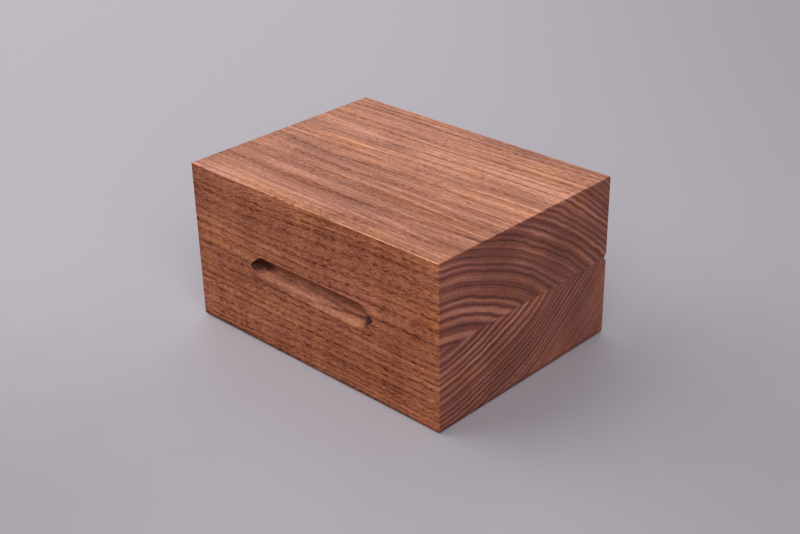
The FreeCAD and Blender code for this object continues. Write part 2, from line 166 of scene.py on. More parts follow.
# Walnut's ramps, here and below: the two ends and, where they aren't 0 and 1, the values there
VIGOUR_BY_PLACE = (0.35, 0.65, -0.25, 0.25)
VIGOUR_BY_RADIUS = (135, 195, 1.0, 0.6)
HEART_INSIDE = (150, 163)
HEART_OUTSIDE = (187, 175)
HEART_ALONG = (-70, 10, 0.1, 1.0)
PORES_IN_EARLY_WOOD = 0.15
PORES = (0.57, 0.69)

# Walnut's tone on faces that look along X, Y and Z: when plain, then how far each layer changes it
PLAIN_TONE = (0.463, 0.525, 0.679)
LAYER_WEIGHTS = {
    "ring": (0.36, 0.10, 0.14),
    "year": (0.16, 0.08, 0.05),
    "fine_lines": (0.74, 0.24, 0.24),
    "band": (0.10, 0.22, 0.42),
    "streak": (0.20, 0.40, 1.35),
    "fibre": (0.60, 1.00, 0.85),
    "patch": (0.40, 0.25, 0.25),
    "glint": (0.0, 0.30, 0.15),
}
PORE_DEPTH = (-0.12, -0.27, -0.13)
HEART_DEPTH = (-0.08, -0.03, -0.09)

# Walnut's painted shade along its foot, by height, and its long arrises' rubbed wear and painted highlight,
# by distance from them and by patch
FOOT_PAINTED_SHADE = (3.5 * MM, 0.3 * MM, 0.0, -0.32)
ARRIS = (0.75 * MM, 0.35 * MM)
# How pale the arrises' rubbed wear and painted highlight get, by patch
ARRIS_WEAR_AND_HIGHLIGHT = (0.4, 0.65, 0.22, 0.50)

# Walnut's colours over its tone, then the tints over them
WALNUT_SHADES = [(0.0, colour(0.040, 0.007, 0.002)), (0.25, colour(0.148, 0.031, 0.009)),
                 (0.5, colour(0.266, 0.083, 0.037)), (0.75, colour(0.430, 0.156, 0.074)),
                 (1.0, colour(0.620, 0.285, 0.170))]
END_GRAIN_SHADES = [(0.0, colour(0.053, 0.015, 0.011)), (0.2, colour(0.128, 0.037, 0.027)),
                    (0.4, colour(0.176, 0.056, 0.038)), (0.5, colour(0.225, 0.075, 0.050)),
                    (0.65, colour(0.330, 0.124, 0.080)), (1.0, colour(0.528, 0.238, 0.170))]
WARM = (0.48, 0.68, 0.0, 0.8)
WARM_TINT = colour(1.07, 1.0, 0.76)
COOL = (0.48, 0.28, 0.0, 0.8)
COOL_TINT = colour(0.99, 0.96, 1.12)
# A cooler, pinker tint standing in for sheen, painted on the groove's routed faces and its painted highlights
PAINTED_SHEEN_TINT = colour(0.95, 1.03, 1.18)

# Walnut's surface
WALNUT_ROUGHNESS = (0, 1, 0.42, 0.7)
WALNUT_GLOSS = 0.18
WALNUT_RELIEF = 0.08 * MM
FIBRE_RELIEF = 0.25
ROUTED_PORES = (0, 1, 1.0, 0.3)
ROUTED_ROUGHNESS = 0.12

# The two halves: the pith's Y and Z in mm, the pace of the rings, their drift along X and the noise's place
BASE_BOARD = {"pith": (-77.0, 171.0), "first_rings": 61.5, "drift": 0.010, "seed": (3.0, 1.0, 2.0)}
LID_BOARD = {"pith": (-81.0, -89.0), "first_rings": 67.0, "drift": -0.012, "seed": (7.0, 5.0, 4.0)}

# Where the finger groove is, in mm: as ramps along X, away from the parting plane, and inwards
GROOVE_ENDS = (39.5, 38.5)
GROOVE_EDGES = (7.2, 6.6)
GROOVE_BOTTOM = (7.0, 6.2)
OFF_THE_RIM = (0.005, 0.02)
ROUTED = (0.05, 0.3)
IN_GROOVE = (0.02, 0.2)

# How fast the painted highlight on the groove's lower lip, and the painted shade line beside it, widen to the
# right
LIP_SLANT = 0.077

# Maple
MAPLE_BANDS = (0.03, 0.35, 3.0, 0.5)
MAPLE_BAND_RAMP = (0.3, 0.7)
MAPLE_PALE = colour(0.60, 0.42, 0.24)
MAPLE_DARK = colour(0.50, 0.32, 0.17)
MAPLE_FLECKS = (0.3, 2.0, 2.0, 0.5)
MAPLE_FLECK_RAMP = (0.5, 0.75, 0.0, 0.4)
MAPLE_FLECK = colour(0.36, 0.22, 0.11)
MAPLE_ROUGHNESS = (0.3, 0.8, 0.5, 0.65)
MAPLE_RELIEF = 0.05 * MM

# Metals
BRUSHING = (0.2, 9.0, 2.0, 0.5)
BRUSHING_RAMP = (0.2, 0.8)
BRUSHING_ROUGHNESS = 0.2
BRUSHING_RELIEF = 0.01 * MM
TARNISH = (0.3, 0.3, 3.0, 0.5)
TARNISH_RAMP = (0.4, 0.75)
BRASS = {"bright": colour(0.72, 0.50, 0.20), "dull": colour(0.48, 0.31, 0.12), "roughness": 0.28}
STEEL = {"bright": colour(0.60, 0.60, 0.62), "dull": colour(0.45, 0.44, 0.44), "roughness": 0.3}

# The paper floor with painted light, brightest behind the box and to its left, over metres from the box, and
# painted shade in the near corners
FLOOR_SIZE = 6.0
FLOOR_FADE = (0.6, 1.3)
BACKDROP = colour(0.47, 0.44, 0.48)
PAPER_DIM = colour(0.270, 0.250, 0.275)
PAPER_BRIGHT = colour(0.385, 0.357, 0.390)
PAPER_ROUGHNESS = 0.7
PAINTED_LIGHT_BY_DEPTH = (-0.45, 0.05, 0.15, 1.0)
PAINTED_LIGHT_BY_SIDE = (-0.05, 0.35, 1.0, 0.42)
CORNER_SHADE_BY_DEPTH = (0.10, -0.12)
CORNER_SHADE_BY_SIDE = (0.03, 0.16, 0.0, 0.68)
MOTTLE = (40.0, 40.0, 2.0, 0.5)
MOTTLE_SHIFT = 0.05

# Lamps: place, diameter and watts, all aimed at the box, and the light of the room
LAMPS = {
    "left_window": ((-1.20, -0.70, 1.25), 2.1, 23.5),
    "right_fill": ((1.10, -0.90, 1.10), 1.6, 24.0),
    "backdrop": ((-0.95, 1.00, 0.90), 2.0, 9.5),
}
LAMP_AIM = Vector((0, 0, 0.04))
ROOM_LIGHT = colour(0.95, 0.93, 1.0)
ROOM_STRENGTH = 0.33

# The colour sockets of a Mix node
MIX_FIRST = 6
MIX_SECOND = 7
MIX_RESULT = 2


class Finish:
    """A material under construction: short calls that add nodes and hand back their outputs."""

    def __init__(self, name):
        self.material = bpy.data.materials.new(name)
        self.material.use_nodes = True
        self.tree = self.material.node_tree
        self.shader = self.tree.nodes["Principled BSDF"]
        coordinates = self.tree.nodes.new("ShaderNodeTexCoord")
        self.place = coordinates.outputs["Object"]
        self.normal = coordinates.outputs["Normal"]

    def put(self, socket, value):
        """Sets a socket to a plain value, or joins another node's output to it."""
        if isinstance(value, bpy.types.NodeSocket):
            self.tree.links.new(value, socket)
        else:
            socket.default_value = value

    def sum(self, operation, *values, clamp=False):
        """A sum on plain numbers, named as on the Math node."""
        node = self.tree.nodes.new("ShaderNodeMath")
        node.operation = operation
        node.use_clamp = clamp
        for socket, value in zip(node.inputs, values):
            self.put(socket, value)
        return node.outputs["Value"]

    def times(self, first, *others):
        for other in others:
            first = self.sum("MULTIPLY", first, other)
        return first

    def plus(self, first, *others):
        for other in others:
            first = self.sum("ADD", first, other)
        return first

    def vector(self, operation, *values, out="Vector"):
        """A sum on vectors, named as on the Vector Math node."""
        node = self.tree.nodes.new("ShaderNodeVectorMath")
        node.operation = operation
        for socket, value in zip(node.inputs, values):
            self.put(socket, value)
        return node.outputs[out]

    def dot(self, first, second):
        return self.vector("DOT_PRODUCT", first, second, out="Value")

    def stretch(self, source, scale, offset=(0, 0, 0)):
        """Coordinates times a scale in each direction, and then moved by an offset."""
        node = self.tree.nodes.new("ShaderNodeMapping")
        self.put(node.inputs["Vector"], source)
        self.put(node.inputs["Location"], offset)
        self.put(node.inputs["Scale"], scale)
        return node.outputs["Vector"]

    def in_mm(self, offset=(0, 0, 0)):
        """The place on the piece in mm, moved by an offset."""
        return self.stretch(self.place, (PER_MM, PER_MM, PER_MM), offset)

    def split(self, source):
        node = self.tree.nodes.new("ShaderNodeSeparateXYZ")
        self.put(node.inputs["Vector"], source)
        return node.outputs["X"], node.outputs["Y"], node.outputs["Z"]

    def noise(self, source, along, across, detail, roughness, seed=(0, 0, 0), out="Fac"):
        """Noise with so many waves to a unit along X and across it."""
        node = self.tree.nodes.new("ShaderNodeTexNoise")
        self.put(node.inputs["Vector"], self.stretch(source, (along, across, across), seed))
        self.put(node.inputs["Scale"], 1.0)
        self.put(node.inputs["Detail"], detail)
        self.put(node.inputs["Roughness"], roughness)
        return node.outputs[out]

    def noise_along(self, value, detail=1.0):
        """Noise that varies with one number only."""
        node = self.tree.nodes.new("ShaderNodeTexNoise")
        node.noise_dimensions = "1D"
        self.put(node.inputs["W"], value)
        self.put(node.inputs["Scale"], 1.0)
        self.put(node.inputs["Detail"], detail)
        return node.outputs["Fac"]

    def chance(self, value):
        """One random number for each whole number."""
        node = self.tree.nodes.new("ShaderNodeTexWhiteNoise")
        node.noise_dimensions = "1D"
        self.put(node.inputs["W"], value)
        return node.outputs["Value"]

    def between(self, value, low, high, first=0.0, last=1.0):
        """Runs smoothly from first to last as the value goes from low to high."""
        node = self.tree.nodes.new("ShaderNodeMapRange")
        node.interpolation_type = "SMOOTHSTEP"
        for name, number in (("Value", value), ("From Min", low), ("From Max", high),
                             ("To Min", first), ("To Max", last)):
            self.put(node.inputs[name], number)
        return node.outputs["Result"]

    def shades(self, value, stops, how="LINEAR"):
        """A colour for each height of a value, blended between (place, colour) stops."""
        node = self.tree.nodes.new("ShaderNodeValToRGB")
        node.color_ramp.interpolation = how
        elements = node.color_ramp.elements
        while len(elements) < len(stops):
            elements.new(MIDDLE)
        for element, (place, shade) in zip(elements, stops):
            element.position = place
            element.color = shade
        self.put(node.inputs["Fac"], value)
        return node.outputs["Color"]

    def curve(self, value, stops):
        """A smooth grey curve through (place, height) stops."""
        greys = [(place, colour(height, height, height)) for place, height in stops]
        return self.shades(value, greys, "EASE")

    def blend(self, factor, first, second, how="MIX"):
        node = self.tree.nodes.new("ShaderNodeMix")
        node.data_type = "RGBA"
        node.blend_type = how
        self.put(node.inputs["Factor"], factor)
        self.put(node.inputs[MIX_FIRST], first)
        self.put(node.inputs[MIX_SECOND], second)
        return node.outputs[MIX_RESULT]

    def bump(self, height, distance):
        node = self.tree.nodes.new("ShaderNodeBump")
        self.put(node.inputs["Height"], height)
        self.put(node.inputs["Distance"], distance)
        self.put(node.inputs["Strength"], 1.0)
        return node.outputs["Normal"]

    def finish(self, **sockets):
        """Joins each named socket of the shader, written with _ for a space."""
        for name, value in sockets.items():
            self.put(self.shader.inputs[name.replace("_", " ")], value)
        return self.material


def mark(strength, **runs):
    """A change of tone at the groove, painted shade below zero and painted highlight above, with the run in
    mm over which it grows in each named direction.
    """
    return strength, runs


# The groove's painted shade and painted highlights, as changes of tone
# Painted shade inside the groove: strongest near the parting plane, and a faint one towards its mouth
GROOVE_PAINTED_SHADE = mark(-0.20, across=(4.5, 1.0), into=IN_GROOVE)
GROOVE_MOUTH_PAINTED_SHADE = mark(-0.02, across=(2.5, 5.0), into=IN_GROOVE)
# Painted shade on the lid's groove face, under the overhang
OVERHANG_PAINTED_SHADE = mark(-0.25, into=IN_GROOVE)
# Painted shade: a dark line along the lower face, just inside the lip's painted highlight
LOWER_LIP_PAINTED_SHADE_LINE = mark(-0.33, along=(-20, 26), slanted=(4.2, 4.8))
# Painted highlight: a pale strip along the groove's lower lip, brighter to the right and cut short near the
# right end
LOWER_LIP_PAINTED_HIGHLIGHT = mark(0.28, along=(-20, 26), slanted=(4.9, 5.6))
LOWER_LIP_WIDE_HIGHLIGHT = mark(0.25, along=(-8, 22), across=(4.4, 5.4))
LOWER_LIP_HIGHLIGHT_END = mark(-0.25, along=(27, 32), across=(4.4, 5.4))
# Painted shade on the left part of the groove's lower face
LOWER_FACE_LEFT_PAINTED_SHADE = mark(-0.20, along=(4, -28), across=(2.5, 5.0))
# Painted highlight along the upper lip at the groove's left end
UPPER_LIP_PAINTED_HIGHLIGHT = mark(0.14, along=(-36, -30), across=(5.6, 6.1))
# Painted shade in the deep ends of the groove, on the lid and the base
LID_LEFT_END_PAINTED_SHADE = mark(-0.50, along=(-26, -33), across=(6.3, 5.8), into=IN_GROOVE)
BASE_LEFT_END_PAINTED_SHADE = mark(-0.50, along=(-25, -33), across=(2.8, 0.8), into=IN_GROOVE)
RIGHT_END_PAINTED_SHADE = mark(-0.75, along=(30, 34), across=(5.8, 2.0), into=IN_GROOVE)
BASE_MARKS = [GROOVE_PAINTED_SHADE, GROOVE_MOUTH_PAINTED_SHADE, LOWER_LIP_PAINTED_SHADE_LINE, LOWER_LIP_PAINTED_HIGHLIGHT, LOWER_LIP_WIDE_HIGHLIGHT, LOWER_LIP_HIGHLIGHT_END,
              LOWER_FACE_LEFT_PAINTED_SHADE, BASE_LEFT_END_PAINTED_SHADE, RIGHT_END_PAINTED_SHADE]
LID_MARKS = [OVERHANG_PAINTED_SHADE, UPPER_LIP_PAINTED_HIGHLIGHT, LID_LEFT_END_PAINTED_SHADE, RIGHT_END_PAINTED_SHADE]


def groove_marks(wood, marks):
    """Where the faces of the finger groove are, and the painted shade and painted highlights round it as a
    change of tone.
    """
    along, into, across = wood.split(wood.vector("SUBTRACT", wood.in_mm(), (0, FRONT / MM, PARTING / MM)))
    across = wood.sum("ABSOLUTE", across)
    ways = {"along": along, "across": across, "into": into,
            "slanted": wood.sum("MULTIPLY_ADD", along, LIP_SLANT, across)}
    near = wood.times(wood.between(wood.sum("ABSOLUTE", along), *GROOVE_ENDS),
                      wood.between(across, *GROOVE_EDGES), wood.between(across, *OFF_THE_RIM),
                      wood.between(into, *GROOVE_BOTTOM))
    change = 0.0
    for strength, runs in marks:
        grown = [wood.between(ways[way], *run) for way, run in runs.items()]
        change = wood.plus(wood.times(near, strength, *grown), change)
    return wood.times(near, wood.between(into, *ROUTED)), change


def arris_wear(wood, level_faces):
    """The paler tone of the level faces along their long arrises, in patches: rubbed wear and a painted
    highlight.
    """
    centre = [(low + high) / 2 for low, high in zip(*cad_box)]
    half = [(high - low) / 2 for low, high in zip(*cad_box)]
    from_centre = wood.vector("ABSOLUTE", wood.vector("SUBTRACT", wood.place, centre))
    _, y, z = wood.split(wood.vector("SUBTRACT", half, from_centre))
    near = wood.between(wood.plus(y, z), *ARRIS)
    return wood.times(near, level_faces, wood.between(wood.noise(wood.in_mm(), *ARRIS_PATCH), *ARRIS_WEAR_AND_HIGHLIGHT))


def foot_shade(wood):
    """Painted shade: the darker tone along the foot of the box."""
    _, _, level = wood.split(wood.place)
    return wood.between(level, *FOOT_PAINTED_SHADE)


def bend(wood, straight, seed):
    """Bends straight grain in long waves and small shivers."""
    bent = straight
    for layer, reach in ((SWAY, SWAY_REACH), (SHIVER, SHIVER_REACH)):
        push = wood.noise(straight, *layer, seed, out="Color")
        push = wood.vector("SUBTRACT", push, (MIDDLE, MIDDLE, MIDDLE))
        bent = wood.vector("ADD", bent, wood.vector("MULTIPLY", push, (0, reach, reach)))
    return bent


def growth(wood, straight, radius, first_rings, seed):
    """The shade of each ring from inside to outside, the shade of its year, and its early wood."""
    pace = wood.noise_along(wood.times(radius, PACE))
    count = wood.sum("POWER", wood.sum("DIVIDE", radius, first_rings), RING_GROWTH)
    count = wood.sum("MULTIPLY_ADD", pace, PACE_SHIFT, count)
    season = wood.sum("FRACT", count)
    vigour = wood.plus(wood.between(wood.noise(straight, *VIGOUR, seed), *VIGOUR_BY_PLACE),
                       wood.between(radius, *VIGOUR_BY_RADIUS))
    ring = wood.sum("SUBTRACT", wood.curve(season, RING_SHAPE), MIDDLE)
    ring = wood.sum("MULTIPLY_ADD", ring, vigour, MIDDLE)
    return ring, wood.chance(wood.sum("FLOOR", count)), wood.curve(season, EARLY_WOOD)


def heartwood(wood, radius, along):
    """A zone of darker rings, which fades out towards the left."""
    return wood.times(wood.between(radius, *HEART_INSIDE), wood.between(radius, *HEART_OUTSIDE),
                      wood.between(along, *HEART_ALONG))


def tinted(wood, body, bent, seed):
    """The colour with warmer and cooler streaks."""
    warmth = wood.noise(bent, *WARMTH, seed)
    for ramp, tint in ((WARM, WARM_TINT), (COOL, COOL_TINT)):
        body = wood.blend(wood.between(warmth, *ramp), body, tint, "MULTIPLY")
    return body


def walnut(name, pith, first_rings, drift, seed, marks):
    """Oiled ring-porous hardwood, sawn along X from a trunk with its pith at the given Y and Z."""
    wood = Finish(name)
    straight = wood.in_mm((0, -pith[0], -pith[1]))
    bent = bend(wood, straight, seed)
    along, _, _ = wood.split(straight)
    radius = wood.vector("LENGTH", wood.vector("MULTIPLY", bent, (0, 1, 1)), out="Value")
    radius = wood.sum("MULTIPLY_ADD", along, drift, radius)
    ring, year, early = growth(wood, straight, radius, first_rings, seed)
    routed, painted_light = groove_marks(wood, marks)
    vessels = wood.sum("MULTIPLY_ADD", early, PORES_IN_EARLY_WOOD, wood.noise(bent, *VESSELS))
    pores = wood.times(wood.between(vessels, *PORES), wood.between(routed, *ROUTED_PORES))
    layers = {
        "ring": ring,
        "year": year,
        "fine_lines": wood.noise_along(wood.times(radius, FINE_LINES), FINE_LINES_DETAIL),
        "band": wood.noise(bent, *BAND, seed),
        "streak": wood.noise(bent, *STREAK),
        "fibre": wood.noise(bent, *FIBRE),
        "patch": wood.noise(straight, *PATCH, seed),
        "glint": wood.noise(straight, *GLINT, seed),
    }

    facing = wood.vector("MULTIPLY", wood.normal, wood.normal)
    tone = wood.dot(facing, PLAIN_TONE)
    for layer, weights in LAYER_WEIGHTS.items():
        change = wood.sum("SUBTRACT", layers[layer], MIDDLE)
        tone = wood.sum("MULTIPLY_ADD", change, wood.dot(facing, weights), tone)
    for shade, depths in ((pores, PORE_DEPTH), (heartwood(wood, radius, along), HEART_DEPTH)):
        tone = wood.sum("MULTIPLY_ADD", shade, wood.dot(facing, depths), tone)
    end_faces, _, level_faces = wood.split(facing)
    # Adds the foot's painted shade, the groove's painted light, and the arrises' rubbed wear and painted
    # highlight
    tone = wood.plus(tone, foot_shade(wood), painted_light, arris_wear(wood, level_faces))

    body = wood.blend(end_faces, wood.shades(tone, WALNUT_SHADES), wood.shades(tone, END_GRAIN_SHADES))
    body = tinted(wood, body, bent, seed)
    # Painted sheen: a cooler, pinker tint over the routed faces and the painted highlights
    body = wood.blend(wood.sum("ADD", routed, painted_light, clamp=True), body, PAINTED_SHEEN_TINT, "MULTIPLY")
    relief = wood.sum("SUBTRACT", wood.times(layers["fibre"], FIBRE_RELIEF), pores)
    roughness = wood.sum("MULTIPLY_ADD", routed, ROUTED_ROUGHNESS, wood.between(pores, *WALNUT_ROUGHNESS),
                         clamp=True)
    return wood.finish(Base_Color=body, Roughness=roughness, Specular_IOR_Level=WALNUT_GLOSS,
                       Normal=wood.bump(relief, WALNUT_RELIEF))


def maple(name):
    """Bare pale hardwood for the lock blocks and dowels."""
    wood = Finish(name)
    bands = wood.noise(wood.in_mm(), *MAPLE_BANDS)
    flecks = wood.noise(wood.in_mm(), *MAPLE_FLECKS)
    body = wood.blend(wood.between(bands, *MAPLE_BAND_RAMP), MAPLE_PALE, MAPLE_DARK)
    body = wood.blend(wood.between(flecks, *MAPLE_FLECK_RAMP), body, MAPLE_FLECK)
    return wood.finish(Base_Color=body, Roughness=wood.between(flecks, *MAPLE_ROUGHNESS),
                       Normal=wood.bump(flecks, MAPLE_RELIEF))


def brushed_metal(name, bright, dull, roughness):
    """Satin metal with fine lines along X and a little tarnish."""
    metal = Finish(name)
    lines = metal.noise(metal.in_mm(), *BRUSHING)
    tarnish = metal.noise(metal.in_mm(), *TARNISH)
    body = metal.blend(metal.between(tarnish, *TARNISH_RAMP), bright, dull)
    satin = metal.between(lines, *BRUSHING_RAMP, roughness, roughness + BRUSHING_ROUGHNESS)
    return metal.finish(Base_Color=body, Metallic=1.0, Roughness=satin,
                        Normal=metal.bump(lines, BRUSHING_RELIEF))


def dress(material, *endings):
    """Gives a finish to every CAD node whose name ends in one of the endings."""
    for name, node in frame["nodes"].items():
        if name.endswith(endings):
            node.data.materials.clear()
            node.data.materials.append(material)


def begin(name, add, **size):
    """Starts a piece from a primitive, alone, with its place in its mesh, open for editing."""
    bpy.ops.object.select_all(action="DESELECT")
    add(**size)
    piece = bpy.context.object
    piece.name = name
    bpy.ops.object.transform_apply(location=True, rotation=True, scale=True)
    bpy.ops.object.mode_set(mode="EDIT")
    return piece


def choose(piece, kind, test):
    """Selects only the faces, edges or verts whose middle passes the test."""
    bpy.ops.mesh.select_mode(type={"faces": "FACE", "edges": "EDGE", "verts": "VERT"}[kind])
    bpy.ops.mesh.select_all(action="DESELECT")
    shape = bmesh.from_edit_mesh(piece.data)
    for part in getattr(shape, kind):
        corners = [part.co] if kind == "verts" else [corner.co for corner in part.verts]
        if test(sum(corners, Vector()) / len(corners)):
            part.select_set(True)
    bmesh.update_edit_mesh(piece.data)


def soften(piece, width):
    """Leaves edit mode, breaks the sharp edges and shades the curves smooth."""
    bpy.ops.object.mode_set(mode="OBJECT")
    bpy.ops.object.modifier_add(type="BEVEL")
    bevel = piece.modifiers[-1]
    bevel.width = width
    bevel.segments = BREAK_SEGMENTS
    bevel.limit_method = "ANGLE"
    bevel.angle_limit = BREAK_ANGLE
    bpy.ops.object.modifier_apply(modifier=bevel.name)
    bpy.ops.object.shade_smooth_by_angle(angle=SMOOTH_ANGLE)


def cut_away(piece, add, **size):
    """Leaves edit mode and takes the shape of a primitive out of a piece."""
    bpy.ops.object.mode_set(mode="OBJECT")
    bpy.ops.object.select_all(action="DESELECT")
    add(**size)
    cutter = bpy.context.object
    bpy.ops.object.select_all(action="DESELECT")
    piece.select_set(True)
    bpy.context.view_layer.objects.active = piece
    bpy.ops.object.modifier_add(type="BOOLEAN")
    cut = piece.modifiers[-1]
    cut.operation = "DIFFERENCE"
    cut.solver = "MANIFOLD"
    cut.object = cutter
    bpy.ops.object.modifier_apply(modifier=cut.name)
    bpy.data.objects.remove(cutter)
    bpy.ops.object.mode_set(mode="EDIT")
    bpy.ops.mesh.select_all(action="SELECT")
    bpy.ops.mesh.dissolve_degenerate(threshold=SLIVER)
    bpy.ops.object.mode_set(mode="OBJECT")


def saw_slot(piece, height, radius, width, depth):
    """Cuts a straight driver slot along X into the round end face at a height on the Z axis."""
    cut_away(piece, bpy.ops.mesh.primitive_cube_add, size=1.0, location=(0, 0, height),
             scale=(OVERCUT * 2 * radius, width, 2 * depth))


def bore_for_stud(piece, low, high):
    """Drills the stud's hole right through along the Z axis."""
    cut_away(piece, bpy.ops.mesh.primitive_cylinder_add, vertices=STRIKER_SIDES, radius=STUD_BORE_RADIUS,
             depth=OVERCUT * (high - low), location=(0, 0, (low + high) / 2))


def threaded_rod(name, core, crest, pitch, low, high, steps):
    """A screw thread about the Z axis, cut off square at both ends."""
    start = low - THREAD_LEAD * pitch
    rod = begin(name, bpy.ops.mesh.primitive_plane_add, size=pitch, rotation=(math.pi / 2, 0, 0),
                location=(core - pitch / 2, 0, start))
    choose(rod, "verts", lambda middle: middle.x < core - pitch / 2)
    bpy.ops.mesh.delete(type="VERT")
    bpy.ops.mesh.select_all(action="SELECT")
    bpy.ops.mesh.subdivide(number_cuts=THREAD_CUTS)
    for share in (THREAD_FLANK, THREAD_CREST):
        choose(rod, "verts", lambda middle: abs(middle.z - start) < share * pitch)
        bpy.ops.transform.translate(value=((crest - core) / 2, 0, 0))
    bpy.ops.object.mode_set(mode="OBJECT")
    bpy.ops.object.modifier_add(type="SCREW")
    turning = rod.modifiers[-1]
    turning.screw_offset = pitch
    turning.iterations = math.ceil((high - low) / pitch) + THREAD_SPARE_TURNS
    turning.steps = turning.render_steps = steps
    turning.use_merge_vertices = True
    bpy.ops.object.modifier_apply(modifier=turning.name)
    bpy.ops.object.mode_set(mode="EDIT")
    bpy.ops.mesh.select_all(action="SELECT")
    bpy.ops.mesh.remove_doubles(threshold=THREAD_WELD * pitch)
    for height, outward in ((low, -1), (high, 1)):
        bpy.ops.mesh.select_all(action="SELECT")
        bpy.ops.mesh.bisect(plane_co=(0, 0, height), plane_no=(0, 0, outward), use_fill=True,
                            clear_outer=True, threshold=SLIVER)
    bpy.ops.mesh.select_all(action="SELECT")
    bpy.ops.mesh.normals_make_consistent(inside=False)
    bpy.ops.object.mode_set(mode="OBJECT")
    bpy.ops.object.shade_smooth_by_angle(angle=THREAD_SMOOTH_ANGLE)
    return rod


def copy_of(piece, name, move):
    """A copy with its own mesh, placed by a matrix."""
    twin = piece.copy()
    twin.name = name
    twin.data = piece.data.copy()
    twin.data.transform(move)
    bpy.context.collection.objects.link(twin)
    return twin


def give(piece, body, slot, material, *stands_for):
    """Dresses a finished piece and ties it to its body."""
    piece.data.materials.clear()
    piece.data.materials.append(material)
    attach(piece, body)
    if stands_for:
        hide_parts(*stands_for)


def screw_head():
    """A slotted countersunk head, its face at zero height, with a short neck below."""
    head = begin("screw_head", bpy.ops.mesh.primitive_cylinder_add, vertices=SCREW_HEAD_SIDES,
                 radius=SCREW_HEAD_RADIUS, depth=SCREW_HEAD_HEIGHT, location=(0, 0, -SCREW_HEAD_HEIGHT / 2))
    choose(head, "faces", lambda middle: middle.z < SLIVER - SCREW_HEAD_HEIGHT)
    neck = SCREW_THREAD_RADIUS / SCREW_HEAD_RADIUS
    bpy.ops.transform.resize(value=(neck, neck, 1))
    bpy.ops.mesh.extrude_region_move(TRANSFORM_OT_translate={"value": (0, 0, -SCREW_NECK)})
    saw_slot(head, 0, SCREW_HEAD_RADIUS, SCREW_SLOT_WIDTH, SCREW_SLOT_DEPTH)
    soften(head, SCREW_EDGE)
    return head


def wood_screw():
    """A slotted countersunk screw on the Z axis, its face at zero height and its point downwards."""
    screw = screw_head()
    tip = -SCREW_LENGTH
    thread = threaded_rod("screw_thread", SCREW_CORE_RADIUS, SCREW_THREAD_RADIUS, SCREW_PITCH, tip,
                          -SCREW_HEAD_HEIGHT, SCREW_THREAD_STEPS)
    bpy.ops.object.mode_set(mode="EDIT")
    for turns in range(SCREW_TAPERED_TURNS, 0, -1):
        choose(thread, "verts", lambda middle: middle.z < tip + turns * SCREW_PITCH)
        bpy.ops.transform.resize(value=(SCREW_TAPER, SCREW_TAPER, 1))
    bpy.ops.object.mode_set(mode="OBJECT")
    screw.select_set(True)
    bpy.context.view_layer.objects.active = screw
    bpy.ops.object.join()
    return screw


def hinge_screws(material):
    """Two screws in each hinge leaf, every slot left at its own angle."""
    pattern = wood_screw()
    joints = {joint["name"]: joint for joint in frame["record"]["behaviour"]["joints"]}
    screw_y = joints["lid_hinge"]["pos_m"][1] - SCREW_SETBACK
    number = 0
    for side in ("left", "right"):
        for half, flip, up in (("base", 0, -1), ("lid", math.pi, 1)):
            low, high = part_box(f"{side}_hinge_{half}_leaf")
            middle_x = (low[0] + high[0]) / 2
            screw_z = PARTING + up * (LEAF_GAP / 2 + SCREW_SINK)
            for end in (-1, 1):
                number += 1
                place = Matrix.Translation((middle_x + end * SCREW_SPREAD, screw_y, screw_z))
                turn = Matrix.Rotation(flip, 4, "X") @ Matrix.Rotation(number * SCREW_TURN, 4, "Z")
                where = "inner" if end * middle_x < 0 else "outer"
                screw = copy_of(pattern, f"{side}_hinge_{half}_screw_{where}", place @ turn)
                give(screw, half, "brass", material)
    bpy.data.objects.remove(pattern)


def striker_stud(low, high):
    """A threaded stud with a driver slot in its lower end."""
    stud = threaded_rod("striker_stud", STUD_CORE_RADIUS, STUD_RADIUS, STUD_PITCH, low, high, STUD_STEPS)
    saw_slot(stud, low, STUD_RADIUS, STRIKER_SLOT_WIDTH, STRIKER_SLOT_DEPTH)
    return stud


def striker_nut(low, high):
    """A round nut with a cone below, slotted in one cut with the end of its stud."""
    nut = begin("striker_nut", bpy.ops.mesh.primitive_cylinder_add, vertices=STRIKER_SIDES, radius=NUT_RADIUS,
                depth=high - low - NUT_CONE, location=(0, 0, (high + low + NUT_CONE) / 2))
    choose(nut, "faces", lambda middle: middle.z < low + NUT_CONE + SLIVER)
    bpy.ops.mesh.extrude_region_move(TRANSFORM_OT_translate={"value": (0, 0, -NUT_CONE)})
    small_end = 1 - NUT_CONE / NUT_RADIUS
    bpy.ops.transform.resize(value=(small_end, small_end, 1))
    bore_for_stud(nut, low, high)
    saw_slot(nut, low, NUT_RADIUS, STRIKER_SLOT_WIDTH, STRIKER_SLOT_DEPTH)
    soften(nut, NUT_EDGE)
    return nut


def striker_insert(low, high):
    """A wood insert with a coarse outside thread and a driver slot across its open end."""
    insert = threaded_rod("striker_insert", INSERT_CORE_RADIUS, INSERT_RADIUS, INSERT_PITCH, low, high,
                          INSERT_STEPS)
    bore_for_stud(insert, low, high)
    saw_slot(insert, low, INSERT_RADIUS, STRIKER_SLOT_WIDTH, STRIKER_SLOT_DEPTH)
    bpy.ops.object.shade_smooth_by_angle(angle=THREAD_SMOOTH_ANGLE)
    return insert


def strikers(material):
    """The insert, stud and nut under the lid at each end, in place of their plain solids."""
    for make in (striker_insert, striker_stud, striker_nut):
        low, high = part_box(f"left_{make.__name__}")
        pattern = make(low[2], high[2])
        for side, angle in (("left", STRIKER_TURN), ("right", -STRIKER_TURN)):
            node = f"{side}_{make.__name__}"
            low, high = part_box(node)
            place = Matrix.Translation(((low[0] + high[0]) / 2, (low[1] + high[1]) / 2, 0))
            piece = copy_of(pattern, f"{node}_turned", place @ Matrix.Rotation(angle, 4, "Z"))
            give(piece, "lid", "brass", material, node)
        bpy.data.objects.remove(pattern)


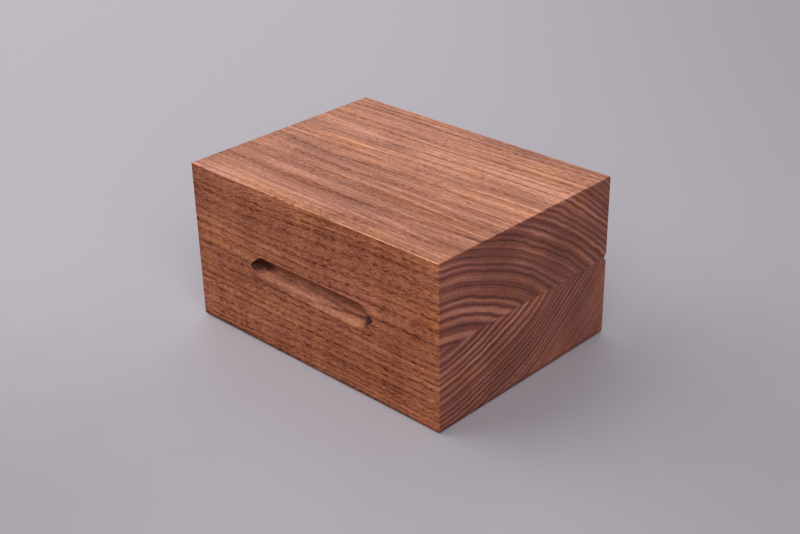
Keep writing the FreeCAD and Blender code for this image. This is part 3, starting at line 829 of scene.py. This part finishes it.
def looked_at(tree):
    """1 for the camera's rays and for reflections, 0 for light that falls on something."""
    path = tree.nodes.new("ShaderNodeLightPath")
    seen = path.outputs["Is Camera Ray"]
    for kind in ("Is Glossy Ray", "Is Transmission Ray"):
        either = tree.nodes.new("ShaderNodeMath")
        either.operation = "MAXIMUM"
        tree.links.new(seen, either.inputs[0])
        tree.links.new(path.outputs[kind], either.inputs[1])
        seen = either.outputs["Value"]
    return seen


def fade_out(paper):
    """Lets the paper run out into the backdrop's colour far from the box."""
    distance = paper.vector("LENGTH", paper.place, out="Value")
    far = paper.times(paper.between(distance, *FLOOR_FADE), looked_at(paper.tree))
    glow = paper.tree.nodes.new("ShaderNodeEmission")
    glow.inputs["Color"].default_value = BACKDROP
    mix = paper.tree.nodes.new("ShaderNodeMixShader")
    paper.put(mix.inputs["Fac"], far)
    paper.put(mix.inputs[1], paper.shader.outputs["BSDF"])
    paper.put(mix.inputs[2], glow.outputs["Emission"])
    paper.put(paper.tree.nodes["Material Output"].inputs["Surface"], mix.outputs["Shader"])


def floor_paper():
    """Pale grey paper with painted light: paler behind the box and to its left, and painted shade dimming the
    near corners.
    """
    paper = Finish("floor_paper")
    away = paper.dot(paper.place, AWAY_FROM_VIEW)
    away = paper.sum("MULTIPLY_ADD", paper.noise(paper.place, *MOTTLE), MOTTLE_SHIFT, away)
    right = paper.dot(paper.place, RIGHT_OF_VIEW)
    # Painted light falling off towards the camera and to the right, then painted shade in the near corners
    lit = paper.times(paper.between(away, *PAINTED_LIGHT_BY_DEPTH), paper.between(right, *PAINTED_LIGHT_BY_SIDE))
    corners = paper.times(paper.between(away, *CORNER_SHADE_BY_DEPTH),
                          paper.between(paper.sum("ABSOLUTE", right), *CORNER_SHADE_BY_SIDE))
    lit = paper.sum("SUBTRACT", lit, paper.times(lit, corners))
    fade_out(paper)
    return paper.finish(Base_Color=paper.blend(lit, PAPER_DIM, PAPER_BRIGHT), Roughness=PAPER_ROUGHNESS)


def floor():
    """The sheet of paper that the box stands on."""
    bpy.ops.object.select_all(action="DESELECT")
    bpy.ops.mesh.primitive_plane_add(size=FLOOR_SIZE)
    plane = bpy.context.object
    plane.name = "floor"
    plane.data.materials.append(floor_paper())


def area_light(name, place, size, power):
    """A round soft lamp, aimed at the box."""
    lamp = bpy.data.lights.new(name, "AREA")
    lamp.shape = "DISK"
    lamp.size = size
    lamp.energy = power
    holder = bpy.data.objects.new(name, lamp)
    bpy.context.collection.objects.link(holder)
    holder.location = place
    holder.rotation_euler = (LAMP_AIM - Vector(place)).to_track_quat("-Z", "Y").to_euler()
    holder.visible_camera = False


def room():
    """Soft light from all round, in front of a plain backdrop."""
    world = bpy.data.worlds.new("studio")
    bpy.context.scene.world = world
    world.use_nodes = True
    tree = world.node_tree
    light = tree.nodes["Background"]
    light.inputs["Color"].default_value = ROOM_LIGHT
    light.inputs["Strength"].default_value = ROOM_STRENGTH
    backdrop = tree.nodes.new("ShaderNodeBackground")
    backdrop.inputs["Color"].default_value = BACKDROP
    mix = tree.nodes.new("ShaderNodeMixShader")
    tree.links.new(looked_at(tree), mix.inputs["Fac"])
    tree.links.new(light.outputs["Background"], mix.inputs[1])
    tree.links.new(backdrop.outputs["Background"], mix.inputs[2])
    tree.links.new(mix.outputs["Shader"], tree.nodes["World Output"].inputs["Surface"])


def studio():
    for name, (place, size, power) in LAMPS.items():
        area_light(name, place, size, power)
    room()
    bpy.context.scene.view_settings.view_transform = "Standard"


def camera():
    """The photograph's camera, aimed at the box from in front and above."""
    lens = bpy.data.cameras.new("camera")
    lens.lens = LENS
    lens.sensor_width = SENSOR_WIDTH
    lens.sensor_fit = "HORIZONTAL"
    lens.clip_start = NEAREST_SEEN
    holder = bpy.data.objects.new("camera", lens)
    bpy.context.collection.objects.link(holder)
    turn = (Matrix.Rotation(VIEW_AZIMUTH, 4, "Z")
            @ Matrix.Rotation(math.pi / 2 - VIEW_ELEVATION, 4, "X")
            @ Matrix.Rotation(VIEW_ROLL, 4, "Z"))
    back = turn.to_3x3() @ Vector((0, 0, 1))
    holder.matrix_world = Matrix.Translation(VIEW_TARGET + back * VIEW_DISTANCE) @ turn
    bpy.context.scene.camera = holder


brass = brushed_metal("hinge_brass", **BRASS)
dress(walnut("base_walnut", **BASE_BOARD, marks=BASE_MARKS), "base_block")
dress(walnut("lid_walnut", **LID_BOARD, marks=LID_MARKS), "lid_block")
dress(maple("lock_maple"), "lock_block", "bore_plug")
dress(brass, "leaf", "hinge_pin", "insert", "stud", "nut")
dress(brushed_metal("pin_steel", **STEEL), "lock_pin")
hinge_screws(brass)
strikers(brass)
floor()
studio()
camera()
